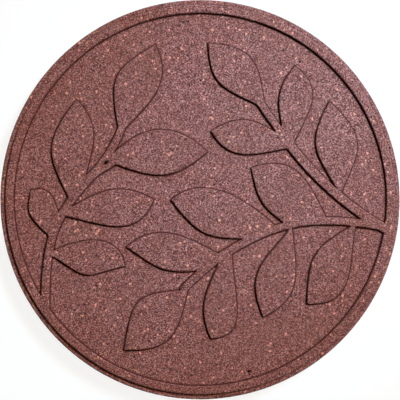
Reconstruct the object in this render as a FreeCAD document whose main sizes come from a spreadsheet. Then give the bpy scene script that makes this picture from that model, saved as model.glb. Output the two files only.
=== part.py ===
import FreeCAD, Part
import math
import os
import Sketcher

# A round garden stepping stone, moulded in one piece from rubber crumb. A raised rim with a lower ledge
# outside it runs round a sunk field, and three leafy sprigs stand on the field, as high as the rim.
# Millimetres and degrees. The origin is the middle of the underside, +Z is up, and bearings turn from +X to +Y.

STONE = {
    "stone_diameter": 450,
    "stone_thickness": 20,
    "ledge_width": 6,
    "ledge_drop": 2.5,
    "rim_width": 10,
    "relief_height": 2.5,
    "edge_rounding": 0.8,
    "drawn_field_radius": 210.9,
}

# A stem is a strip of even width along one curve. It leaves its root at one bearing and comes to its end at
# another, and each reach says how far the curve is pulled along that bearing. A main stem has its root on the
# rim, at root_angle. A twig has it on a main stem, at a share of that stem's way.
STEM_SIZES = ("root", "leave", "leave_reach", "end_x", "end_y", "arrive", "arrive_reach", "width")
MAIN_STEMS = {
    "left_stem": (215.6, 90, 88, -104, 46.5, 45, 88, 10),
    "right_stem": (-9.3, 151, 50, 100.5, 63.4, 127, 50, 11),
    "low_stem": (-8.4, 170, 85, 20, -66.5, 213, 82, 9.5),
}
TWIGS = {
    "left_twig": ("left_stem", 0.91, 49, 18, -89, 82, 73, 18, 9),
    "left_stalk": ("left_stem", 0.88, 42, 10, -97.9, 43.2, 34, 10, 9),
    "right_twig": ("right_stem", 0.955, 126, 18, 68, 110, 122, 18, 9),
    "low_twig": ("low_stem", 0.97, 213, 15, -20, -103, 229, 15, 9),
}

# A leaf grows from a stem between two shares of that stem's way. Its midrib has a bearing and a length, from the
# middle of those two. Each edge is one curve from the stem to the tip, with the bearings and reaches of its ends.
# Left and right are as seen from the stem.
EDGE_SIZES = ("start", "leave", "leave_reach", "arrive", "arrive_reach")
LEAVES = {
    "left_leaf_1": ("left_twig", 68, 111, (0.86, 101, 66, 31, 59), (0.8, 49, 45, 117, 53)),
    "left_leaf_2": ("left_stem", 89.8, 106, (0.695, 114, 50, 50.5, 72), (0.83, 80, 41, 132, 48)),
    "left_leaf_3": ("left_stem", 5, 115.3, (0.99, 48.5, 67, 316, 43), (0.985, 340, 55, 42, 58)),
    "left_leaf_4": ("left_stem", 123, 51, (0.405, 137, 32, 74, 29), (0.565, 107, 22, 195, 24)),
    "left_leaf_5": ("left_stem", 8.7, 105, (0.615, 30, 43, 330, 48), (0.585, 347, 53, 68, 50)),
    "left_leaf_6": ("left_stem", 350.5, 88, (0.305, 28, 41, 279, 40), (0.3, 328, 60, 14, 56)),
    "right_leaf_1": ("right_twig", 130.5, 99.5, (0.86, 153, 52, 92, 52), (0.8, 99, 52, 177, 57)),
    "right_leaf_2": ("right_twig", 84.5, 86.5, (0.3, 99, 37, 50, 39), (0.02, 68, 40, 144, 48)),
    "right_leaf_3": ("right_twig", 171.5, 89, (0.02, 192, 46, 120, 42), (0.25, 148, 39, 212, 42)),
    "right_leaf_4": ("right_stem", 97.5, 110.8, (0.418, 122, 54, 65, 59), (0.425, 70, 62, 141, 63)),
    "low_leaf_1": ("low_stem", 136.1, 88.4, (0.57, 146, 38, 101, 35), (0.315, 118, 43, 200, 58)),
    "low_leaf_2": ("low_stem", 161, 113.5, (0.8, 181, 53, 129, 53), (0.63, 138, 48, 220, 52)),
    "low_leaf_3": ("low_twig", 170.4, 100, (0.46, 189, 45, 145, 41), (0.03, 152, 43, 222, 48)),
    "low_leaf_4": ("low_twig", 225.5, 102, (0.75, 250, 43, 176, 68), (0.97, 186, 57, 260, 61)),
    "low_leaf_5": ("low_stem", 259.7, 99, (0.92, 271, 56, 184, 47), (0.985, 251, 42, 294, 45)),
    "low_leaf_6": ("low_stem", 252.8, 110, (0.54, 274, 49, 206, 55), (0.543, 241, 41, 295, 64)),
    "low_leaf_7": ("low_stem", 238.1, 108.6, (0.152, 247, 32, 176, 64), (0.155, 210, 58, 268, 57)),
}

CONTROL_POINTS = ("root", "near", "far", "end")
FLOOR = "Sizes.stone_thickness - Sizes.relief_height"
FIELD_RADIUS = "(Sizes.stone_diameter / 2 - Sizes.ledge_width - Sizes.rim_width)"
RIM_MIDDLE = "(Sizes.stone_diameter / 2 - Sizes.ledge_width - Sizes.rim_width / 2)"
DRAWING_SCALE = "(" + FIELD_RADIUS + " / Sizes.drawn_field_radius)"


def add_sizes(sheet, sizes):
    """Write each named size to a row of its own, with its name beside it."""
    for row, (name, value) in enumerate(sizes.items(), 1):
        sheet.set("A%d" % row, name)
        sheet.set("B%d" % row, str(value))
        sheet.setAlias("B%d" % row, name)


def all_sizes():
    """Collect the stone's, the stems' and the leaves' sizes under one flat set of names."""
    sizes = dict(STONE)
    for name, values in MAIN_STEMS.items():
        for size, value in zip(STEM_SIZES, values):
            sizes[name + "_" + size] = value
    for name, (_, *values) in TWIGS.items():
        for size, value in zip(STEM_SIZES, values):
            sizes[name + "_" + size] = value
    for name, (_, aim, length, left, right) in LEAVES.items():
        sizes[name + "_aim"] = aim
        sizes[name + "_length"] = length
        for side, values in (("left", left), ("right", right)):
            for size, value in zip(EDGE_SIZES, values):
                sizes[name + "_" + side + "_" + size] = value
    return sizes


def new_sketch(body, plane_role, name):
    """Start a sketch on one of the body's own planes."""
    sketch = body.newObject("Sketcher::SketchObject", name)
    plane = [feature for feature in body.Origin.OriginFeatures if feature.Role == plane_role][0]
    sketch.AttachmentSupport = (plane, "")
    sketch.MapMode = "FlatFace"
    return sketch


def pin_point(sketch, geometry, position, name, point):
    """Hold one point of the sketch at a place given by two expressions."""
    for axis, kind, expression in zip("xy", ("DistanceX", "DistanceY"), point):
        value = float(sketch.evalExpression(expression))
        index = sketch.addConstraint(Sketcher.Constraint(kind, -1, 1, geometry, position, value))
        sketch.renameConstraint(index, name + "_" + axis)
        sketch.setExpression("Constraints." + name + "_" + axis, expression)


def as_vector(sketch, point):
    """Give the present place of a point that two expressions describe."""
    return FreeCAD.Vector(*(float(sketch.evalExpression(part)) for part in point), 0)


def add_curve(sketch, name, points, construction=False):
    """Add a cubic curve whose four control points are held by expressions."""
    poles = [as_vector(sketch, point) for point in points]
    curve = sketch.addGeometry(Part.BSplineCurve(poles, None, None, False, 3, None, False), construction)
    first_pole = sketch.GeometryCount
    sketch.exposeInternalGeometry(curve)
    for offset, (label, point) in enumerate(zip(CONTROL_POINTS, points)):
        pin_point(sketch, first_pole + offset, 3, name + label, point)
    return curve


def join_curves(sketch, first, first_end, second, second_end):
    """Close the gap between two curve ends with a straight line."""
    start = sketch.getPoint(first, first_end)
    end = sketch.getPoint(second, second_end)
    line = sketch.addGeometry(Part.LineSegment(start, end), False)
    sketch.addConstraint(Sketcher.Constraint("Coincident", line, 1, first, first_end))
    sketch.addConstraint(Sketcher.Constraint("Coincident", line, 2, second, second_end))


def moved(point, distance, bearing):
    """Expressions for the point that lies a distance away from another, at a bearing."""
    step = "(" + distance + ") * 1 mm * %s(" + bearing + ")"
    return tuple("(%s) + %s" % (part, step % turn) for part, turn in zip(point, ("cos", "sin")))


def drawn(size):
    """Expression for a size of the sprigs, which follow the field when it grows or shrinks."""
    return "Sizes." + size + " * " + DRAWING_SCALE


def on_stem(stem, share):
    """Expressions for the point at a share of the way along a stem's curve."""
    weights = ("(1 - {0})^3", "3 * (1 - {0})^2 * {0}", "3 * (1 - {0}) * {0}^2", "{0}^3")
    terms = [weight.format("(" + share + ")") for weight in weights]
    return tuple(" + ".join("%s * %s.Constraints.axis_%s_%s" % (term, stem, label, axis)
                            for term, label in zip(terms, CONTROL_POINTS)) for axis in "xy")


def stem_root(name):
    """Expressions for the root of a stem, on the rim or on the stem that it branches from."""
    root = "Sizes." + name + "_root"
    if name in TWIGS:
        return on_stem(TWIGS[name][0], root)
    return moved(("0 mm", "0 mm"), RIM_MIDDLE, root)


def draw_stem(sketch, name):
    """Draw a stem's axis and the two edges of its strip."""
    leave = "Sizes." + name + "_leave"
    arrive = "Sizes." + name + "_arrive"
    root = stem_root(name)
    end = tuple(drawn(name + "_end_" + axis) + " * 1 mm" for axis in "xy")
    near = moved(root, drawn(name + "_leave_reach"), leave)
    far = moved(end, drawn(name + "_arrive_reach"), arrive + " + 180")
    add_curve(sketch, "axis_", (root, near, far, end), construction=True)
    half_width = drawn(name + "_width") + " / 2"
    edges = []
    for side, turn in (("left_", " + 90"), ("right_", " - 90")):
        points = [moved(point, half_width, bearing + turn)
                  for point, bearing in zip((root, near, far, end), (leave, leave, arrive, arrive))]
        edges.append(add_curve(sketch, side, points))
    join_curves(sketch, edges[0], 1, edges[1], 1)
    join_curves(sketch, edges[0], 2, edges[1], 2)


def draw_leaf(sketch, name):
    """Draw a leaf's two edges, from the stem to the tip."""
    stem = LEAVES[name][0]
    size = "Sizes." + name + "_"
    middle = on_stem(stem, "(%sleft_start + %sright_start) / 2" % (size, size))
    tip = moved(middle, drawn(name + "_length"), size + "aim")
    edges = []
    for side in ("left_", "right_"):
        root = on_stem(stem, size + side + "start")
        near = moved(root, drawn(name + "_" + side + "leave_reach"), size + side + "leave")
        far = moved(tip, drawn(name + "_" + side + "arrive_reach"), size + side + "arrive + 180")
        edges.append(add_curve(sketch, side, (root, near, far, tip)))
    join_curves(sketch, edges[0], 1, edges[1], 1)


def add_raised(doc, body, name, draw):
    """Raise one stem or leaf from the floor of the field to the height of the rim."""
    sketch = new_sketch(body, "XY_Plane", name)
    sketch.setExpression("AttachmentOffset.Base.z", FLOOR)
    draw(sketch, name)
    doc.recompute()
    pad = body.newObject("PartDesign::Pad", name + "_pad")
    pad.Profile = sketch
    pad.setExpression("Length", "Sizes.relief_height")
    sketch.Visibility = False
    doc.recompute()


def add_disc(doc, body):
    """Turn the stone's half section: underside, edge, ledge, rim and the floor of the field."""
    outside = "Sizes.stone_diameter / 2"
    ledge_wall = outside + " - Sizes.ledge_width"
    top = "Sizes.stone_thickness"
    corners = (
        ("under_middle", "0", "0"),
        ("under_edge", outside, "0"),
        ("ledge_edge", outside, top + " - Sizes.ledge_drop"),
        ("ledge_foot", ledge_wall, top + " - Sizes.ledge_drop"),
        ("rim_outside", ledge_wall, top),
        ("rim_inside", FIELD_RADIUS, top),
        ("field_edge", FIELD_RADIUS, FLOOR),
        ("field_middle", "0", FLOOR),
    )
    sketch = new_sketch(body, "XZ_Plane", "half_section")
    points = [as_vector(sketch, corner[1:]) for corner in corners]
    count = len(points)
    for index in range(count):
        sketch.addGeometry(Part.LineSegment(points[index], points[(index + 1) % count]), False)
    for index, (name, *place) in enumerate(corners):
        sketch.addConstraint(Sketcher.Constraint("Coincident", index - 1 if index else count - 1, 2, index, 1))
        if name == "under_middle":
            sketch.addConstraint(Sketcher.Constraint("Coincident", index, 1, -1, 1))
        else:
            pin_point(sketch, index, 1, name, place)
    doc.recompute()
    disc = body.newObject("PartDesign::Revolution", "disc")
    disc.Profile = sketch
    disc.ReferenceAxis = (sketch, ["V_Axis"])
    disc.Angle = 360
    sketch.Visibility = False
    doc.recompute()
    return disc


def round_edges(doc, body, disc):
    """Round the stone's outer edges: the underside, the ledge and the outside of the rim."""
    outside = STONE["stone_diameter"] / 2
    rounded = []
    for index, edge in enumerate(disc.Shape.Edges, 1):
        is_ring = isinstance(edge.Curve, Part.Circle)
        is_outer = is_ring and math.isclose(edge.Curve.Radius, outside)
        is_rim = is_ring and math.isclose(edge.Curve.Radius, outside - STONE["ledge_width"])
        is_top = is_rim and math.isclose(edge.Curve.Center.z, STONE["stone_thickness"])
        if is_outer or is_top:
            rounded.append("Edge%d" % index)
    rounding = body.newObject("PartDesign::Fillet", "edge_rounding")
    rounding.Base = (disc, rounded)
    rounding.setExpression("Radius", "Sizes.edge_rounding")
    doc.recompute()


def check_document(doc, body):
    """Stop if any object failed to build or the finished stone isn't one valid solid."""
    for item in doc.Objects:
        if "Invalid" in item.State or "Error" in item.State:
            raise RuntimeError("%s did not build: %s" % (item.Name, item.State))
    if body.Shape.isNull() or not body.Shape.isValid() or len(body.Shape.Solids) != 1:
        raise RuntimeError("the stone is not one valid solid")


def main():
    doc = FreeCAD.newDocument("GardenSteppingStone")
    sheet = doc.addObject("Spreadsheet::Sheet", "Sizes")
    add_sizes(sheet, all_sizes())
    doc.recompute()

    body = doc.addObject("PartDesign::Body", "Stone")
    body.Label = "stepping_stone"
    body.Placement = FreeCAD.Placement()
    disc = add_disc(doc, body)
    round_edges(doc, body, disc)
    for name in (*MAIN_STEMS, *TWIGS):
        add_raised(doc, body, name, draw_stem)
    for name in LEAVES:
        add_raised(doc, body, name, draw_leaf)

    check_document(doc, body)
    os.makedirs("parts", exist_ok=True)
    body.Shape.exportStep(os.path.join("parts", body.Label + ".step"))


main()
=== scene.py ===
"""Garden stepping stone of bonded rubber crumb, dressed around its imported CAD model."""

import math

import bpy
import numpy as np
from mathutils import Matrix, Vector, geometry, noise
from mathutils.bvhtree import BVHTree


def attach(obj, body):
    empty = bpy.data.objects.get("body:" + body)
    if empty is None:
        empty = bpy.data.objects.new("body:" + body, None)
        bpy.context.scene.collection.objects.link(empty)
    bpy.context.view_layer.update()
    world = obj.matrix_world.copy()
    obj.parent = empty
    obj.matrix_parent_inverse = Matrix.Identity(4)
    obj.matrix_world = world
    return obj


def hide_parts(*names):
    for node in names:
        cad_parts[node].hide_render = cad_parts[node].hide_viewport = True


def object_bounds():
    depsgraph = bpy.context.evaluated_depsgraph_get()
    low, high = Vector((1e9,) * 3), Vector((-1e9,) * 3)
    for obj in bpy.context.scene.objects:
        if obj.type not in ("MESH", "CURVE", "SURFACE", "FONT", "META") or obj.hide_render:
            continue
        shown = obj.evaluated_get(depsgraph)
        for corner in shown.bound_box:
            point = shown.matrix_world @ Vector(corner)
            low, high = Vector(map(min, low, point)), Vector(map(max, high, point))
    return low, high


bl_info = {
    "name": "Garden Stepping Stone",
    "version": (1, 0, 0),
    "blender": (4, 5, 0),
    "location": "View3D > Sidebar > Stepping Stone",
    "description": "Makes a round rubber crumb stepping stone with leafy sprigs, and a stage to show it on",
    "category": "Object",
}

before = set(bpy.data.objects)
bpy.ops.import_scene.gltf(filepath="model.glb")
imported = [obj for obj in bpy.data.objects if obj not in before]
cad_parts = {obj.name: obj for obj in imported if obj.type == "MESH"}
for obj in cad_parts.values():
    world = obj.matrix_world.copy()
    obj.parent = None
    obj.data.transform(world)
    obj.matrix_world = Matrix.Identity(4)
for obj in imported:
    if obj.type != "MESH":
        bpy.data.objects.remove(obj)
CAD_BOX = [list(corner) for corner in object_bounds()]

NODE = "stepping_stone"
MM = 0.001

# Side of the square image, in pixels.
IMAGE_SIDE = 400

# Least length that anything is divided by.
TINY = 1e-12

# The ledge's wall lies in this band, as shares of the radius. The relief's walls are nearer the middle.
LEDGE_BAND = (0.96, 0.99)

# Largest upward part of a wall's normal, which is 1 on level ground.
UPRIGHT_TILT = 0.1

# How closely the solid's wall edges are read, in millimetres and in decimals of a millimetre.
TOP_SLACK = 0.01
SHORTEST_EDGE = 0.002
PLACE_DECIMALS = 3

# How far the solid's curved walls may bulge from the flat facets that stand for them, in millimetres.
CHORD_SAG = 0.13

# Softened section of a moulded step: distance from the wall, in millimetres with the lower side positive, and
# the share of the step's height that the surface has dropped by there. Loose points stay clear of it.
STEP_SECTION = ((-1.6, 0.0), (-1.0, 0.08), (-0.6, 0.32), (-0.3, 0.68), (0.0, 0.94), (0.45, 1.0))
STEP_CLEAR_RAISED = -2.4
STEP_CLEAR_SUNK = 1.3

# How far a point in a row along a wall may stray from the row's distance, and by what share of that more,
# before it is left out because another wall is nearer. This close to a wall, a point counts as on it.
ROW_SLACK = 0.15
ROW_SLACK_SHARE = 0.2
ON_WALL = 0.1

# Gap between the loose points and the circle round them, as a share of their spacing. Then, in millimetres,
# the distance at which two points become one, and how far inside the circle a point still counts as on it.
BORDER_GAP = 0.6
MERGE_DISTANCE = 1e-4
RING_SLACK = 0.01

# Grain of the pressed crumb: widths of its coarse and fine dips, in granules, and what each adds to the
# middle depth, as shares of the grain depth.
COARSE_DIP = 4.5
FINE_DIP = 1.6
COARSE_SHARE = 0.35
FINE_SHARE = 0.55
MIDDLE_SHARE = 0.5
DEEPEST_SHARE = 1.2

# The grain is calmer within this many millimetres of a wall, down to this share of its depth.
CALM_REACH = 1.5
CALM_SHARE = 0.35

# Painted shade at the foot of a wall: distance from the wall, in millimetres with the lower side positive,
# and how dark the painted shade is there.
CREASE_SHADE_SECTION = ((-0.7, 0.0), (-0.15, 1.0), (0.5, 1.0), (1.15, 0.0))

# Share of the painted shade at the relief's walls that the ledge's wall shows.
LEDGE_SHADE_SHARE = 0.45

# Half section of the stone's edge, from the ledge to the underside: distance in from the outside, height
# above the underside or, in the upper rows, the ledge, and how dark the painted shade makes the crumb there.
# Lengths are in millimetres. The plain side between the upper and the lower rows has its own painted shade.
# There is no grain below the foot's height, so that the stone rests flat.
EDGE_SECTION = ((2.2, 0.0, 0.0), (1.5, -0.13, 0.15), (0.9, -0.42, 0.35), (0.45, -0.9, 0.5), (0.16, -1.6, 0.5),
                (0.06, -2.5, 0.3), (0.06, 0.8, 0.2), (0.3, 0.15, 0.3), (0.9, 0.0, 0.0))
UPPER_EDGE_ROWS = 6
SIDE_SHADE = 0.1
FOOT_HEIGHT = 0.5

# Nicks in the upper side, on the left stem and on the field near the rim: place, half length, half width,
# bearing in degrees and depth. Lengths are in millimetres. Then come the spacing of the points in them, the
# power that makes their walls steep, and how fast painted shade darkens them: at 3 the painted shade is
# darkest from a third of the way in.
NICKS = ((-105.8, 41.2, 2.6, 1.1, 38, 8.0), (54.9, -193.5, 1.7, 1.3, 0, 6.0))
NICK_STEP = 0.4
NICK_STEEPNESS = 0.35
NICK_SHADE_RISE = 3

# The right sprig's leaf nearest the rim, which the solid lacks: its root on the stem and its tip, and the
# bearing and reach with which each edge's curve leaves the root and comes to the tip. Lengths are in
# millimetres and bearings in degrees. Each edge is drawn in as many straight parts as the last value says.
RIM_LEAF_ROOT = (157, 4)
RIM_LEAF_TIP = (145, 110.5)
RIM_LEAF_EDGES = ((117, 53, 61, 62), (69, 51, 137, 68))
RIM_LEAF_PARTS = 24

# Places of the upper side and the underside in the texture map, each a middle and a radius. The edge lies in
# strips below them, whose sizes are shares of the map's side.
UPPER_MAP = (0.385, 0.61, 0.375)
UNDER_MAP = (0.88, 0.88, 0.11)
MAP_STRIPS = 4
STRIP_MARGIN = 0.01
STRIP_LENGTH = 0.96
STRIP_PITCH = 0.045
STRIP_WIDTH = 0.035

# Width of a patch of mottling and height of the bump, in metres.
MOTTLE = 60 * MM
BUMP_HEIGHT = 0.45 * MM

# Patches where the pits get more painted shade and dots of fine grain, per width of a granule, and the
# height of that grain as a multiple of a granule's own.
PIT_PATCHES = 0.7
FINE_GRAINS = 0.9
FINE_GRAIN_HEIGHT = 1.5

# Roughness of the glossiest and the dullest granules, and the rubber's own gloss.
SHEEN = (0.25, 0.68)
RUBBER_IOR = 1.52
RUBBER_SPECULAR = 0.2

# Where the draws of black, no, faint salmon, salmon and pale flecks begin, from 0 to 1, and how strongly each
# of them shows.
FLECK_DRAWS = (0.0, 0.002, 0.972, 0.988, 0.9965)
FLECK_STRENGTHS = (0.8, 0.0, 0.3, 0.95, 0.9)

# Sockets of a colour mix: its factor and the two colours that go in, and the colour that comes out.
MIX_FACTOR = 0
MIX_FIRST = 6
MIX_SECOND = 7
MIX_RESULT = 2

# What the settings hold for each lamp.
LAMP_PARTS = ("size", "power", "spread", "colour", "height", "distance", "aim")


class StoneSettings(bpy.types.PropertyGroup):
    """Sizes of the crumb and of the mesh, the colours of the rubber and the colour of its painted shade."""
    seed: bpy.props.IntProperty(
        name="Seed", description="Start of the random draws that loosen the mesh", default=7)
    surface_step: bpy.props.FloatProperty(
        name="Surface step", description="Spacing of the points on the upper side",
        default=1.75 * MM, unit="LENGTH", precision=5)
    wall_step: bpy.props.FloatProperty(
        name="Wall step", description="Spacing of the points along the walls of the relief",
        default=1.45 * MM, unit="LENGTH", precision=5)
    edge_step: bpy.props.FloatProperty(
        name="Edge step", description="Height of the rows of points round the outside",
        default=2.2 * MM, unit="LENGTH", precision=5)
    under_step: bpy.props.FloatProperty(
        name="Underside step", description="Spacing of the points on the underside",
        default=9 * MM, unit="LENGTH", precision=5)
    grain_depth: bpy.props.FloatProperty(
        name="Grain depth", description="How deep the surface dips between granules",
        default=0.2 * MM, unit="LENGTH", precision=5)
    granule: bpy.props.FloatProperty(
        name="Granule", description="Width of a rubber granule",
        default=0.75 * MM, unit="LENGTH", precision=5)
    fleck: bpy.props.FloatProperty(
        name="Fleck", description="Width of a fleck of other rubber",
        default=2.1 * MM, unit="LENGTH", precision=5)
    dark_crumb: bpy.props.StringProperty(
        name="Dark crumb", description="Colour of the darker granules, sRGB hex", default="#42201A")
    middle_crumb: bpy.props.StringProperty(
        name="Middle crumb", description="Colour of most granules, sRGB hex", default="#8B423A")
    light_crumb: bpy.props.StringProperty(
        name="Light crumb", description="Colour of the lighter granules, sRGB hex", default="#D68F84")
    bright_crumb: bpy.props.StringProperty(
        name="Bright crumb", description="Colour of the lightest granules, sRGB hex", default="#F0AB98")
    rust_tint: bpy.props.StringProperty(
        name="Rust tint", description="Tint of the warmest granules, sRGB hex", default="#FFE6DC")
    mauve_tint: bpy.props.StringProperty(
        name="Mauve tint", description="Tint of the coolest granules, sRGB hex", default="#E2F0FF")
    brown_crumb: bpy.props.StringProperty(
        name="Brown crumb", description="Colour that the mottling leans to, sRGB hex", default="#884C3C")
    salmon_crumb: bpy.props.StringProperty(
        name="Salmon fleck", description="Colour of the orange-pink flecks, sRGB hex", default="#EE967E")
    pale_crumb: bpy.props.StringProperty(
        name="Pale fleck", description="Colour of the pinkish white flecks, sRGB hex", default="#DEC6C0")
    black_crumb: bpy.props.StringProperty(
        name="Black fleck", description="Colour of the black flecks, sRGB hex", default="#160C0C")
    # The colour of the painted shade in the corners of the relief, in the pits between granules, in the nicks
    # and on the rounded edge.
    painted_shade_colour: bpy.props.StringProperty(
        name="Crease", description="Colour of the crumb in the corners of the relief, sRGB hex",
        default="#48110A")


class StageSettings(bpy.types.PropertyGroup):
    """Camera, lights and floor."""
    camera_height: bpy.props.FloatProperty(
        name="Camera height", description="Height of the camera above the floor", default=0.92, unit="LENGTH")
    widest_height: bpy.props.FloatProperty(
        name="Widest height", description="Height of the highest place where the stone is widest",
        default=15.9 * MM, unit="LENGTH", precision=5)
    stone_pixels: bpy.props.FloatProperty(
        name="Stone in the image", description="Width of the stone in the image, in pixels", default=399.7)
    image_drop: bpy.props.FloatProperty(
        name="Image drop", description="How far the middle of the image lies below the stone's, in pixels",
        default=0.3)
    key_bearing: bpy.props.FloatProperty(
        name="Key bearing", description="Direction that the main light comes from, seen from above",
        default=math.radians(43), subtype="ANGLE")
    key_height: bpy.props.FloatProperty(
        name="Key height", description="Angle of the main light above the floor",
        default=math.radians(40.5), subtype="ANGLE")
    key_distance: bpy.props.FloatProperty(
        name="Key distance", description="Distance from the stone to the main light",
        default=5.0, unit="LENGTH")
    key_size: bpy.props.FloatProperty(
        name="Key size", description="Width of the main light", default=1.6, unit="LENGTH")
    key_power: bpy.props.FloatProperty(
        name="Key power", description="Power of the main light", default=45.5, unit="POWER")
    key_colour: bpy.props.StringProperty(
        name="Key colour", description="Colour of the main light, sRGB hex", default="#FFE3B2")
    key_spread: bpy.props.FloatProperty(
        name="Key spread", description="Angle that the main light's grid lets through",
        default=math.radians(70), subtype="ANGLE")
    key_aim: bpy.props.FloatVectorProperty(
        name="Key aim", description="Place on the floor that the main light's middle falls on",
        default=(-0.1, 0.06), size=2, unit="LENGTH")
    cool_height: bpy.props.FloatProperty(
        name="Cool height", description="Angle of the cool light above the floor",
        default=math.radians(36.5), subtype="ANGLE")
    cool_distance: bpy.props.FloatProperty(
        name="Cool distance", description="Distance from the stone to the cool light",
        default=1.36, unit="LENGTH")
    cool_size: bpy.props.FloatProperty(
        name="Cool size", description="Width of the cool light", default=0.45, unit="LENGTH")
    cool_power: bpy.props.FloatProperty(
        name="Cool power", description="Power of the cool light", default=2.39, unit="POWER")
    cool_spread: bpy.props.FloatProperty(
        name="Cool spread", description="Angle that the cool light's grid lets through",
        default=math.radians(32), subtype="ANGLE")
    cool_aim: bpy.props.FloatVectorProperty(
        name="Cool aim", description="Place on the floor that the cool light's middle falls on",
        default=(0.08, 0.08), size=2, unit="LENGTH")
    cool_colour: bpy.props.StringProperty(
        name="Cool colour", description="Colour of the cool light, sRGB hex", default="#8BD4FF")
    sky_strength: bpy.props.FloatProperty(
        name="Sky strength", description="Strength of the even light from all round", default=0.035)
    sky_colour: bpy.props.StringProperty(
        name="Sky colour", description="Colour of the even light, sRGB hex", default="#FFDCCB")
    floor_side: bpy.props.FloatProperty(
        name="Floor side", description="Length of the floor's sides", default=40.0, unit="LENGTH")
    floor_colour: bpy.props.StringProperty(
        name="Floor", description="Colour of the floor, sRGB hex", default="#F4F3F1")
    floor_glow: bpy.props.FloatProperty(
        name="Floor glow", description="Light that the floor gives off, so that shadows on it stay pale",
        default=0.99)
    floor_paint: bpy.props.StringProperty(
        name="Floor paint", description="Colour that the floor shows by the lamps' light alone, sRGB hex",
        default="#50555C")


def hex_to_linear(code):
    """Turn an sRGB hex colour into linear red, green, blue and full alpha."""
    parts = [int(code[start:start + 2], 16) / 255 for start in (1, 3, 5)]
    linear = [part / 12.92 if part <= 0.04045 else ((part + 0.055) / 1.055) ** 2.4 for part in parts]
    return (*linear, 1.0)


def add_node(tree, kind, settings=None, values=None, links=None):
    """Add a node with its settings, its inputs' values and the outputs that its inputs are linked to."""
    node = tree.nodes.new(kind)
    for name, value in (settings or {}).items():
        setattr(node, name, value)
    for socket, value in (values or {}).items():
        node.inputs[socket].default_value = value
    for socket, source in (links or {}).items():
        tree.links.new(source, node.inputs[socket])
    return node


def set_ramp(node, stops, interpolation):
    """Give a colour ramp its stops, each a position and a colour."""
    ramp = node.color_ramp
    ramp.interpolation = interpolation
    while len(ramp.elements) < len(stops):
        ramp.elements.new(1.0)
    for element, (position, colour) in zip(ramp.elements, stops):
        element.position = position
        element.color = colour


def new_material(name):
    """Start a material with an empty tree and its output."""
    material = bpy.data.materials.new(name)
    material.use_nodes = True
    material.node_tree.nodes.clear()
    output = add_node(material.node_tree, "ShaderNodeOutputMaterial")
    return material, material.node_tree, output


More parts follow.
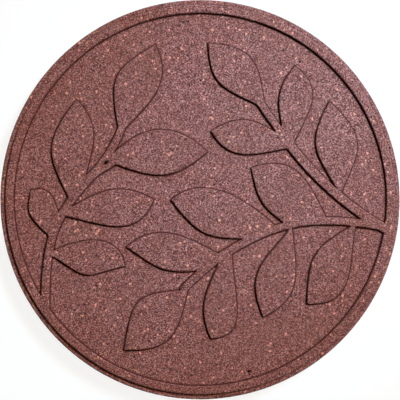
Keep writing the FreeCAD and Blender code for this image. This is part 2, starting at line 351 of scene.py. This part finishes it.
def crumb_rubber(settings):
    """Make the stone's material.

    Recycled rubber crumb, pressed in a mould with a pigmented binder. The eye sees fine granules that differ
    in lightness and tint, pits between them darkened by painted shade, a soft sheen with small glints, and a
    few salmon, pale and black flecks of other rubber. Painted shade also darkens the corners of the relief,
    the nicks and the rounded edge.
    """
    material, tree, output = new_material("moulded crumb rubber")
    place = add_node(tree, "ShaderNodeTexCoord").outputs["Object"]
    granules_per_metre = 1 / settings.granule

    granules = add_node(tree, "ShaderNodeTexVoronoi", values={"Scale": granules_per_metre},
                        links={"Vector": place})
    draws = add_node(tree, "ShaderNodeSeparateColor", links={"Color": granules.outputs["Color"]})
    tones = add_node(tree, "ShaderNodeValToRGB", links={"Fac": draws.outputs["Red"]})
    set_ramp(tones, ((0.0, hex_to_linear(settings.black_crumb)), (0.1, hex_to_linear(settings.dark_crumb)),
                     (0.5, hex_to_linear(settings.middle_crumb)), (0.9, hex_to_linear(settings.light_crumb)),
                     (1.0, hex_to_linear(settings.bright_crumb))), "LINEAR")
    tints = add_node(tree, "ShaderNodeValToRGB", links={"Fac": draws.outputs["Green"]})
    set_ramp(tints, ((0.0, hex_to_linear(settings.rust_tint)), (0.5, (1.0, 1.0, 1.0, 1.0)),
                     (1.0, hex_to_linear(settings.mauve_tint))), "LINEAR")
    tinted = add_node(tree, "ShaderNodeMix", {"data_type": "RGBA", "blend_type": "MULTIPLY"},
                      {MIX_FACTOR: 1.0},
                      {MIX_FIRST: tones.outputs["Color"], MIX_SECOND: tints.outputs["Color"]})

    # Mottling, where the pigment took more or less.
    mottle = add_node(tree, "ShaderNodeTexNoise", values={"Scale": 1 / MOTTLE, "Detail": 3.0},
                      links={"Vector": place})
    lean = add_node(tree, "ShaderNodeMapRange", values={"From Min": 0.35, "From Max": 0.7, "To Max": 0.3},
                    links={"Value": mottle.outputs["Fac"]})
    mottled = add_node(tree, "ShaderNodeMix", {"data_type": "RGBA"},
                       {MIX_SECOND: hex_to_linear(settings.brown_crumb)},
                       {MIX_FACTOR: lean.outputs["Result"], MIX_FIRST: tinted.outputs[MIX_RESULT]})

    # Painted shade in the pits between the granules, stronger in some places than in others.
    gaps = add_node(tree, "ShaderNodeTexVoronoi", {"feature": "DISTANCE_TO_EDGE"},
                    {"Scale": granules_per_metre}, {"Vector": place})
    depth = add_node(tree, "ShaderNodeTexNoise", None,
                     {"Scale": granules_per_metre * PIT_PATCHES, "Detail": 1.0}, {"Vector": place})
    openness = add_node(tree, "ShaderNodeMapRange", values={"From Min": 0.45, "From Max": 0.7},
                        links={"Value": depth.outputs["Fac"]})
    edge = add_node(tree, "ShaderNodeMapRange", {"interpolation_type": "SMOOTHSTEP"},
                    {"From Min": 0.0, "From Max": 0.3, "To Min": 1.0, "To Max": 0.0},
                    {"Value": gaps.outputs["Distance"]})
    gap = add_node(tree, "ShaderNodeMath", {"operation": "MULTIPLY"}, None,
                   {0: edge.outputs["Result"], 1: openness.outputs["Result"]})
    with_pit_shade = add_node(tree, "ShaderNodeMix", {"data_type": "RGBA"},
                      {MIX_SECOND: hex_to_linear(settings.painted_shade_colour)},
                      {MIX_FACTOR: gap.outputs["Value"], MIX_FIRST: mottled.outputs[MIX_RESULT]})

    # Flecks of other rubber, wider than the granules. The ramp's alpha says where and how strongly they show.
    flecks = add_node(tree, "ShaderNodeTexVoronoi", values={"Scale": 1 / settings.fleck},
                      links={"Vector": place})
    fleck_draws = add_node(tree, "ShaderNodeSeparateColor", links={"Color": flecks.outputs["Color"]})
    fleck_tones = add_node(tree, "ShaderNodeValToRGB", links={"Fac": fleck_draws.outputs["Green"]})
    salmon = hex_to_linear(settings.salmon_crumb)[:3]
    pale = hex_to_linear(settings.pale_crumb)[:3]
    black = hex_to_linear(settings.black_crumb)[:3]
    kinds = zip(FLECK_DRAWS, (black, salmon, salmon, salmon, pale), FLECK_STRENGTHS)
    set_ramp(fleck_tones, [(draw, (*colour, strength)) for draw, colour, strength in kinds], "CONSTANT")
    flecked = add_node(tree, "ShaderNodeMix", {"data_type": "RGBA"}, None,
                       {MIX_FACTOR: fleck_tones.outputs["Alpha"], MIX_FIRST: with_pit_shade.outputs[MIX_RESULT],
                        MIX_SECOND: fleck_tones.outputs["Color"]})

    # Painted shade in the corners of the relief, in the nicks and on the rounded edge.
    crease = add_node(tree, "ShaderNodeAttribute", {"attribute_name": "crease"})
    with_painted_shade = add_node(tree, "ShaderNodeMix", {"data_type": "RGBA"},
                       {MIX_SECOND: hex_to_linear(settings.painted_shade_colour)},
                       {MIX_FACTOR: crease.outputs["Fac"], MIX_FIRST: flecked.outputs[MIX_RESULT]})

    # Each granule stands up a little from the pits round it, with fine grain on top.
    dome = add_node(tree, "ShaderNodeMapRange", values={"From Min": 0.0, "From Max": 0.5},
                    links={"Value": gaps.outputs["Distance"]})
    grain = add_node(tree, "ShaderNodeTexNoise", None,
                     {"Scale": granules_per_metre * FINE_GRAINS, "Detail": 2.0}, {"Vector": place})
    height = add_node(tree, "ShaderNodeMath", {"operation": "MULTIPLY_ADD"}, {1: FINE_GRAIN_HEIGHT},
                      {0: grain.outputs["Fac"], 2: dome.outputs["Result"]})
    bump = add_node(tree, "ShaderNodeBump", values={"Strength": 1.0, "Distance": BUMP_HEIGHT},
                    links={"Height": height.outputs["Value"]})

    # Some granules are glossier than others, and the crumb under the painted shade in the corners is dull.
    glossiest, dullest = SHEEN
    sheen = add_node(tree, "ShaderNodeMapRange", values={"To Min": glossiest, "To Max": dullest},
                     links={"Value": draws.outputs["Blue"]})
    roughness = add_node(tree, "ShaderNodeMath", {"operation": "MAXIMUM"}, None,
                         {0: sheen.outputs["Result"], 1: crease.outputs["Fac"]})
    shader = add_node(tree, "ShaderNodeBsdfPrincipled", None,
                      {"IOR": RUBBER_IOR, "Specular IOR Level": RUBBER_SPECULAR},
                      {"Base Color": with_painted_shade.outputs[MIX_RESULT], "Roughness": roughness.outputs["Value"],
                       "Normal": bump.outputs["Normal"]})
    tree.links.new(shader.outputs["BSDF"], output.inputs["Surface"])
    return material


def read_solid(node):
    """Give the CAD mesh's points in millimetres, its triangles and their normals."""
    mesh = node.data
    mesh.calc_loop_triangles()
    points = np.empty(len(mesh.vertices) * 3)
    mesh.vertices.foreach_get("co", points)
    points = points.reshape(-1, 3) / MM
    triangles = np.empty(len(mesh.loop_triangles) * 3, dtype=int)
    mesh.loop_triangles.foreach_get("vertices", triangles)
    triangles = triangles.reshape(-1, 3)
    first, second, third = (points[triangles[:, corner]] for corner in range(3))
    normals = np.cross(second - first, third - first)
    normals /= np.maximum(np.linalg.norm(normals, axis=1, keepdims=True), TINY)
    return points, triangles, normals


def wall_loops(points, walls, top):
    """Chain the upper edges of the relief's walls into loops that keep the sunk side on their left."""
    follow = {}
    for wall in walls:
        for start, end in ((0, 1), (1, 2), (2, 0)):
            a = points[wall[start]]
            b = points[wall[end]]
            if min(a[2], b[2]) > top - TOP_SLACK and math.dist(a[:2], b[:2]) > SHORTEST_EDGE:
                follow[tuple(np.round(a[:2], PLACE_DECIMALS))] = tuple(np.round(b[:2], PLACE_DECIMALS))
    loops = []
    while follow:
        start = min(follow)
        loop = [start]
        step = follow.pop(start)
        while step != start:
            loop.append(step)
            step = follow.pop(step)
        loops.append(np.array(loop))
    return loops


def moved(place, distance, bearing):
    """The place at a distance and a bearing in degrees from another."""
    turn = math.radians(bearing)
    return np.array(place) + distance * np.array((math.cos(turn), math.sin(turn)))


def rim_leaf_outline():
    """Points round the leaf that the solid lacks, with the sunk side on their left."""
    share = np.linspace(0, 1, RIM_LEAF_PARTS + 1)[:, None]
    edges = []
    for leave, leave_reach, arrive, arrive_reach in RIM_LEAF_EDGES:
        near = moved(RIM_LEAF_ROOT, leave_reach, leave)
        far = moved(RIM_LEAF_TIP, -arrive_reach, arrive)
        edges.append((1 - share) ** 3 * RIM_LEAF_ROOT + 3 * (1 - share) ** 2 * share * near
                     + 3 * (1 - share) * share ** 2 * far + share ** 3 * RIM_LEAF_TIP)
    left, right = edges
    return np.concatenate((left[:-1], right[:0:-1]))


def smooth_run(points, step):
    """Points at even steps along a smooth curve through the given ones, without the last."""
    gaps = np.linalg.norm(np.diff(points, axis=0), axis=1)
    along = np.concatenate(([0.0], np.cumsum(gaps)))
    slopes = np.gradient(points, along, axis=0)
    count = max(1, round(along[-1] / step))
    wanted = np.linspace(0, along[-1], count + 1)[:-1]
    index = np.clip(np.searchsorted(along, wanted, side="right") - 1, 0, len(gaps) - 1)
    span = gaps[index][:, None]
    share = (wanted - along[index])[:, None] / span
    rise = share * share * (3 - 2 * share)
    leave = share * (1 - share) ** 2
    arrive = share * share * (share - 1)
    curve = (points[index] * (1 - rise) + points[index + 1] * rise
             + span * (leave * slopes[index] + arrive * slopes[index + 1]))
    chord = points[index] * (1 - share) + points[index + 1] * share
    bulge = np.linalg.norm(curve - chord, axis=1, keepdims=True)
    return chord + (curve - chord) * np.minimum(1, CHORD_SAG / np.maximum(bulge, CHORD_SAG))


def smooth_loop(loop, step, corner_turn=math.radians(25)):
    """Sample a closed loop evenly, with its corners kept, and give each sample's normal to the left."""
    ahead = np.roll(loop, -1, axis=0) - loop
    headings = np.arctan2(ahead[:, 1], ahead[:, 0])
    turns = np.abs((headings - np.roll(headings, 1) + math.pi) % (2 * math.pi) - math.pi)
    corners = list(np.flatnonzero(turns > corner_turn)) or [0]
    closed = np.concatenate((loop, loop))
    runs = []
    for start, end in zip(corners, corners[1:] + [corners[0] + len(loop)]):
        runs.append(smooth_run(closed[start:end + 1], step))
    samples = np.concatenate(runs)
    ahead = np.roll(samples, -1, axis=0) - samples
    ahead /= np.linalg.norm(ahead, axis=1, keepdims=True)
    heading = ahead + np.roll(ahead, 1, axis=0)
    heading /= np.maximum(np.linalg.norm(heading, axis=1, keepdims=True), TINY)
    return samples, np.column_stack((-heading[:, 1], heading[:, 0]))


def hexagonal_points(radius, step, random, jitter=0.28):
    """Points of a loose hexagonal grid inside a circle."""
    rows = np.arange(-radius, radius, step * math.sqrt(3) / 2)
    columns = np.arange(-radius, radius, step)
    across = columns[None, :] + step / 2 * (np.arange(len(rows)) % 2)[:, None]
    grid = np.stack((across, np.repeat(rows[:, None], len(columns), axis=1)), axis=-1).reshape(-1, 2)
    grid += random.uniform(-jitter, jitter, grid.shape) * step
    return grid[np.linalg.norm(grid, axis=1) < radius]


def circle_points(radius, count):
    """Points round a circle, starting on +X."""
    angles = np.linspace(0, 2 * math.pi, count, endpoint=False)
    return np.column_stack((np.cos(angles), np.sin(angles))) * radius


def triangulate(points, edges):
    """Join points in the plane into triangles, with the given edges kept."""
    flat = [Vector(point) for point in points.tolist()]
    corners, _, faces, *_ = geometry.delaunay_2d_cdt(flat, edges, [], 0, MERGE_DISTANCE, False)
    return np.array([tuple(corner) for corner in corners]), np.array(faces)


class Grain:
    """Size and depth of the crumb's grain, in millimetres."""

    def __init__(self, settings):
        self.size = settings.granule / MM
        self.depth = settings.grain_depth / MM


def crumb_depth(points, grain):
    """Depth of the pressed crumb below its mould, from 0 to about the grain depth, at points in space."""
    coarse = np.array([noise.noise(Vector(point) / (COARSE_DIP * grain.size)) for point in points])
    fine = np.array([noise.noise(Vector(point) / (FINE_DIP * grain.size)) for point in points])
    share = MIDDLE_SHARE + FINE_SHARE * fine + COARSE_SHARE * coarse
    return grain.depth * np.clip(share, 0, DEEPEST_SHARE)


class Relief:
    """The solid and the leaf that it lacks, read for the places of the walls and the heights between them."""

    def __init__(self, node):
        points, triangles, normals = read_solid(node)
        self.top = points[:, 2].max()
        self.radius = np.linalg.norm(points[:, :2], axis=1).max()
        upright = np.abs(normals[:, 2]) < UPRIGHT_TILT
        reach = np.linalg.norm(points[triangles].mean(axis=1)[:, :2], axis=1) / self.radius
        inner, outer = LEDGE_BAND
        walls = triangles[upright & (reach < inner)]
        ledge = points[triangles[upright & (reach > inner) & (reach < outer)]].reshape(-1, 3)
        self.floor = points[walls][:, :, 2].min()
        self.ledge = ledge[:, 2].min()
        self.ledge_radius = np.linalg.norm(ledge[:, :2], axis=1).mean()
        self.rim_middle = (np.linalg.norm(points[walls][:, :, :2], axis=2).max() + self.ledge_radius) / 2
        self.loops = wall_loops(points, walls, self.top)
        places = [Vector(point) for point in points]
        self.forms = [(BVHTree.FromPolygons(places, walls.tolist()),
                       BVHTree.FromPolygons(places, triangles.tolist()))]
        self.half_height = (self.top + self.floor) / 2
        self.add_leaf(rim_leaf_outline())

    def add_leaf(self, outline):
        """Raise a leaf of the given outline beside what the solid has."""
        count = len(outline)
        upper = [Vector((*point, self.top)) for point in outline]
        lower = [Vector((*point, self.floor)) for point in outline]
        walls = [(index, (index + 1) % count, (index + 1) % count + count, index + count)
                 for index in range(count)]
        self.forms.append((BVHTree.FromPolygons(upper + lower, walls),
                           BVHTree.FromPolygons(upper, [range(count)])))
        self.loops.append(outline)

    def signed_distance(self, point):
        """Distance from the nearest wall, positive over lower ground."""
        reach = math.hypot(*point)
        if reach > self.rim_middle:
            return reach - self.ledge_radius
        distances = []
        for walls, cover in self.forms:
            gap = walls.find_nearest(Vector((*point, self.half_height)))[3]
            hit = cover.ray_cast(Vector((*point, 2 * self.top)), Vector((0, 0, -1)))[0]
            distances.append(-gap if hit is not None and hit.z > self.half_height else gap)
        return min(distances)

    def heights(self, points, distances):
        """Heights of the softened surface."""
        share = np.interp(distances, *np.transpose(STEP_SECTION))
        beyond = np.linalg.norm(points, axis=1) > self.rim_middle
        drop = np.where(beyond, self.top - self.ledge, self.top - self.floor)
        return self.top - share * drop


def nick_shares(points):
    """How far inside each nick the points lie, from 0 at its border to 1 at its middle."""
    shares = []
    for x, y, half_length, half_width, bearing, _ in NICKS:
        right, up = (points - (x, y)).T
        turn = math.radians(bearing)
        along = (right * math.cos(turn) + up * math.sin(turn)) / half_length
        across = (up * math.cos(turn) - right * math.sin(turn)) / half_width
        shares.append(np.clip(1 - along ** 2 - across ** 2, 0, 1))
    return np.array(shares)


def nick_points():
    """A fine grid of points over each nick."""
    points = []
    for x, y, half_length, *_ in NICKS:
        side = np.arange(-half_length, half_length + NICK_STEP, NICK_STEP)
        grid = np.stack(np.meshgrid(side, side), axis=-1).reshape(-1, 2)
        points.append(grid + (x, y))
    points = np.concatenate(points)
    return points[nick_shares(points).max(axis=0) > 0]


def upper_points(relief, settings, random):
    """Points of the upper side, and the edges that keep its walls crisp."""
    wall_step = settings.wall_step / MM
    loops = [smooth_loop(loop, wall_step) for loop in relief.loops]
    ring = circle_points(relief.ledge_radius, round(2 * math.pi * relief.ledge_radius / wall_step))
    loops.append((ring, ring / relief.ledge_radius))
    points = []
    edges = []
    for samples, normals in loops:
        for offset, _ in STEP_SECTION:
            kept = []
            for place in samples + normals * offset:
                distance = relief.signed_distance(place)
                fits = abs(distance - offset) < ROW_SLACK + ROW_SLACK_SHARE * abs(offset)
                on_wall = abs(distance) < ON_WALL and abs(offset) < ON_WALL
                kept.append(len(points) if fits or on_wall else None)
                if kept[-1] is not None:
                    points.append(place)
            pairs = zip(kept, kept[1:] + kept[:1])
            edges.extend((a, b) for a, b in pairs if a is not None and b is not None)
    border = relief.radius - EDGE_SECTION[0][0]
    count = round(2 * math.pi * border / wall_step)
    points.extend(circle_points(border, count))
    surface_step = settings.surface_step / MM
    loose = hexagonal_points(border - surface_step * BORDER_GAP, surface_step, random)
    loose = loose[nick_shares(loose).max(axis=0) == 0]
    points.extend(place for place in loose
                  if not STEP_CLEAR_RAISED < relief.signed_distance(place) < STEP_CLEAR_SUNK)
    points.extend(nick_points())
    return np.array(points), edges, count


def edge_rows(relief, step):
    """Radius, height and painted shade of each row of points round the edge, from the ledge to the underside.
    """
    rows = [(relief.radius - inset, height + (relief.ledge if index < UPPER_EDGE_ROWS else 0.0), edge_shade)
            for index, (inset, height, edge_shade) in enumerate(EDGE_SECTION)]
    upper, lower = rows[UPPER_EDGE_ROWS - 1], rows[UPPER_EDGE_ROWS]
    count = round((upper[1] - lower[1]) / step)
    between = [(upper[0], upper[1] + (lower[1] - upper[1]) * index / count, SIDE_SHADE)
               for index in range(1, count)]
    return rows[:UPPER_EDGE_ROWS] + between + rows[UPPER_EDGE_ROWS:]


def in_turn(points, ring_radius):
    """Numbers of the points on the outermost circle, in order round it from +X."""
    found = np.flatnonzero(np.linalg.norm(points[:, :2], axis=1) > ring_radius - RING_SLACK)
    angles = np.arctan2(points[found, 1], points[found, 0]) % (2 * math.pi)
    return found[np.argsort(angles)]


def upper_side(relief, settings, grain, random):
    """Points, triangles and painted shade of the upper side, and how many points go round it."""
    flat, edges, around = upper_points(relief, settings, random)
    flat, faces = triangulate(flat, edges)
    distances = np.array([relief.signed_distance(point) for point in flat])
    points = np.column_stack((flat, relief.heights(flat, distances)))
    calm = np.clip(np.abs(distances) / CALM_REACH, CALM_SHARE, 1.0)
    points[:, 2] -= crumb_depth(points, grain) * calm
    shares = nick_shares(flat)
    points[:, 2] -= (shares ** NICK_STEEPNESS).T @ [nick[-1] for nick in NICKS]
    # Painted shade at the foot of each wall, weaker at the ledge, and in the nicks.
    crease = np.interp(distances, *np.transpose(CREASE_SHADE_SECTION))
    crease *= np.where(np.linalg.norm(flat, axis=1) > relief.rim_middle, LEDGE_SHADE_SHARE, 1.0)
    crease = np.maximum(crease, np.minimum(NICK_SHADE_RISE * shares.max(axis=0), 1))
    return points, faces, crease, around


def edge_side(rows, border, around, grain, first):
    """Points of the rows round the edge, their triangles, each corner's place on it, and its last ring."""
    points = []
    for radius, height, _ in rows[1:]:
        ring = np.column_stack((circle_points(radius, around), np.full(around, height)))
        if height > FOOT_HEIGHT:
            ring[:, :2] *= (1 - crumb_depth(ring, grain) / radius)[:, None]
        points.append(ring)
    rings = [border] + [first + around * index + np.arange(around) for index in range(len(points))]
    step = np.arange(around)
    ahead = (step + 1) % around
    faces = []
    places = []
    for row, (upper, lower) in enumerate(zip(rings, rings[1:])):
        faces.append(np.column_stack((lower[step], lower[ahead], upper[ahead])))
        faces.append(np.column_stack((lower[step], upper[ahead], upper[step])))
        spots = np.stack((step, np.full(around, row)), axis=-1)
        right, down = np.array((1, 0)), np.array((0, 1))
        places.append(np.stack((spots + down, spots + down + right, spots + right), axis=1))
        places.append(np.stack((spots + down, spots + right, spots), axis=1))
    return np.concatenate(points), np.concatenate(faces), np.concatenate(places), rings[-1]


def under_side(radius, around, step, random):
    """Points and triangles of the flat underside, its outermost circle first."""
    loose = hexagonal_points(radius - BORDER_GAP * step, step, random)
    flat, faces = triangulate(np.concatenate((circle_points(radius, around), loose)), [])
    ring = in_turn(flat, radius)
    inner = np.setdiff1d(np.arange(len(flat)), ring)
    order = np.concatenate((ring, inner))
    place = np.empty(len(flat), dtype=int)
    place[order] = np.arange(len(flat))
    return flat[order], place[faces][:, ::-1]


def strip_map(places, around, row_heights):
    """Map the edge's corners to strips below the two discs of the texture map."""
    per_strip = math.ceil(around / MAP_STRIPS)
    strip = places[:, :, 0].min(axis=1, keepdims=True) // per_strip
    along = (places[:, :, 0] - strip * per_strip) / per_strip
    across = row_heights[places[:, :, 1]]
    return np.stack((STRIP_MARGIN + STRIP_LENGTH * along,
                     STRIP_MARGIN + STRIP_PITCH * strip + STRIP_WIDTH * across), axis=-1)


def stone_mesh(settings):
    """Mesh the stone: a crumbly upper side with crisp walls, a rough edge and a flat underside."""
    random = np.random.default_rng(settings.seed)
    relief = Relief(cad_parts[NODE])
    grain = Grain(settings)
    upper, upper_faces, crease, around = upper_side(relief, settings, grain, random)
    rows = edge_rows(relief, settings.edge_step / MM)
    border = in_turn(upper, relief.radius - EDGE_SECTION[0][0])
    edge, edge_faces, edge_places, last_ring = edge_side(rows, border, around, grain, len(upper))
    under, under_faces = under_side(rows[-1][0], around, settings.under_step / MM, random)
    first_under = len(upper) + len(edge)
    numbers = np.concatenate((last_ring, first_under + np.arange(len(under) - around)))

    points = np.concatenate((upper, edge, np.column_stack((under, np.zeros(len(under))))[around:]))
    faces = np.concatenate((upper_faces, edge_faces, numbers[under_faces]))
    # Painted shade on the rows round the edge, joined to that of the upper side; the material reads it as a
    # point attribute.
    edge_shade = np.repeat([row[2] for row in rows[1:]], around)
    painted_shades = np.concatenate((crease, edge_shade, np.zeros(len(under) - around)))
    spread = points[:, :2] / relief.radius
    drop = np.array([row[1] for row in rows]) / rows[0][1]
    maps = np.concatenate((np.array(UPPER_MAP[:2]) + UPPER_MAP[2] * spread[upper_faces],
                           strip_map(edge_places, around, drop),
                           np.array(UNDER_MAP[:2]) + UNDER_MAP[2] * spread[numbers[under_faces]]))
    mesh = bpy.data.meshes.new("crumb_stone")
    mesh.from_pydata((points * MM).tolist(), [], faces.tolist())
    mesh.attributes.new("crease", "FLOAT", "POINT").data.foreach_set("value", painted_shades.astype(np.float32))
    mesh.uv_layers.new(name="OFBake").data.foreach_set("uv", maps.astype(np.float32).ravel())
    mesh.polygons.foreach_set("use_smooth", np.ones(len(faces), dtype=bool))
    mesh.update()
    return mesh


class STEPPING_STONE_OT_stone(bpy.types.Operator):
    """Make the stone from rubber crumb, in place of the plain solid"""
    bl_idname = "stepping_stone.make_stone"
    bl_label = "Make Stone"

    def execute(self, context):
        settings = context.scene.stepping_stone
        stone = bpy.data.objects.new("crumb_stone", stone_mesh(settings))
        stone.data.materials.append(crumb_rubber(settings))
        context.scene.collection.objects.link(stone)
        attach(stone, "root")
        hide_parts(NODE)
        return {"FINISHED"}


class STEPPING_STONE_OT_stage(bpy.types.Operator):
    """Make the floor, the lights and a camera that looks straight down"""
    bl_idname = "stepping_stone.make_stage"
    bl_label = "Make Stage"

    def execute(self, context):
        settings = context.scene.stepping_stone_stage
        self.make_floor(context, settings)
        self.make_lights(context, settings)
        self.make_camera(context, settings)
        context.scene.view_settings.view_transform = "Standard"
        return {"FINISHED"}

    def make_floor(self, context, settings):
        """A pale matt floor that glows, so that shadows on it stay faint."""
        side = settings.floor_side / 2
        mesh = bpy.data.meshes.new("floor")
        corners = [(-side, -side, 0), (side, -side, 0), (side, side, 0), (-side, side, 0)]
        mesh.from_pydata(corners, [], [(0, 1, 2, 3)])
        material, tree, output = new_material("matt studio floor")
        colour = hex_to_linear(settings.floor_colour)
        shader = add_node(tree, "ShaderNodeBsdfPrincipled", None, {
            "Base Color": hex_to_linear(settings.floor_paint), "Roughness": 0.9, "Emission Color": colour,
            "Emission Strength": settings.floor_glow})
        tree.links.new(shader.outputs["BSDF"], output.inputs["Surface"])
        mesh.materials.append(material)
        floor = bpy.data.objects.new("floor", mesh)
        context.scene.collection.objects.link(floor)

    def add_lamp(self, context, settings, name):
        """A round gridded lamp on the key's bearing, turned to its own place on the floor."""
        size, power, spread, colour, height, distance, aim = (
            getattr(settings, name + "_" + part) for part in LAMP_PARTS)
        light = bpy.data.lights.new(name, "AREA")
        light.shape = "DISK"
        light.size = size
        light.energy = power
        light.spread = spread
        light.color = hex_to_linear(colour)[:3]
        lamp = bpy.data.objects.new(name, light)
        flat = math.cos(height)
        bearing = settings.key_bearing
        toward = Vector((flat * math.cos(bearing), flat * math.sin(bearing), math.sin(height)))
        lamp.location = toward * distance
        from_aim = lamp.location - Vector((*aim, 0))
        lamp.rotation_euler = from_aim.to_track_quat("Z", "Y").to_euler()
        context.scene.collection.objects.link(lamp)

    def make_lights(self, context, settings):
        """A warm lamp at the upper right of the image, a cool one nearer on that side, and a faint sky."""
        self.add_lamp(context, settings, "key")
        self.add_lamp(context, settings, "cool")
        world = bpy.data.worlds.new("studio")
        world.use_nodes = True
        tree = world.node_tree
        tree.nodes.clear()
        # The stone is lit by a faint sky, and the camera sees the floor's own colour beyond the floor.
        sky = add_node(tree, "ShaderNodeBackground", None, {
            "Color": hex_to_linear(settings.sky_colour), "Strength": settings.sky_strength})
        beyond = add_node(tree, "ShaderNodeBackground", None, {
            "Color": hex_to_linear(settings.floor_colour), "Strength": settings.floor_glow})
        rays = add_node(tree, "ShaderNodeLightPath")
        mixed = add_node(tree, "ShaderNodeMixShader", None, None, {
            0: rays.outputs["Is Camera Ray"], 1: sky.outputs["Background"], 2: beyond.outputs["Background"]})
        add_node(tree, "ShaderNodeOutputWorld", None, None, {"Surface": mixed.outputs["Shader"]})
        context.scene.world = world

    def make_camera(self, context, settings):
        """A long lens straight above, with +Y at the top of the image."""
        lens = bpy.data.cameras.new("camera")
        low, high = CAD_BOX
        view_width = (high[0] - low[0]) * IMAGE_SIDE / settings.stone_pixels
        lens.lens = lens.sensor_width * (settings.camera_height - settings.widest_height) / view_width
        camera = bpy.data.objects.new("camera", lens)
        camera.location = (0, -settings.image_drop * view_width / IMAGE_SIDE, settings.camera_height)
        context.scene.collection.objects.link(camera)
        context.scene.camera = camera


class STEPPING_STONE_PT_panel(bpy.types.Panel):
    """Settings and operators of the stone and its stage"""
    bl_label = "Stepping Stone"
    bl_idname = "STEPPING_STONE_PT_panel"
    bl_space_type = "VIEW_3D"
    bl_region_type = "UI"
    bl_category = "Stepping Stone"

    def draw(self, context):
        for settings, operator in ((context.scene.stepping_stone, STEPPING_STONE_OT_stone),
                                   (context.scene.stepping_stone_stage, STEPPING_STONE_OT_stage)):
            box = self.layout.box()
            for name in settings.__annotations__:
                box.prop(settings, name)
            box.operator(operator.bl_idname)


CLASSES = (StoneSettings, StageSettings, STEPPING_STONE_OT_stone, STEPPING_STONE_OT_stage,
           STEPPING_STONE_PT_panel)


def register():
    """Add the settings, operators and panel to Blender."""
    for cls in CLASSES:
        bpy.utils.register_class(cls)
    bpy.types.Scene.stepping_stone = bpy.props.PointerProperty(type=StoneSettings)
    bpy.types.Scene.stepping_stone_stage = bpy.props.PointerProperty(type=StageSettings)


def unregister():
    """Take them out again."""
    del bpy.types.Scene.stepping_stone_stage
    del bpy.types.Scene.stepping_stone
    for cls in reversed(CLASSES):
        bpy.utils.unregister_class(cls)


def main():
    """Make the stone and its stage."""
    register()
    bpy.ops.stepping_stone.make_stone()
    bpy.ops.stepping_stone.make_stage()


if __name__ == "__main__":
    main()
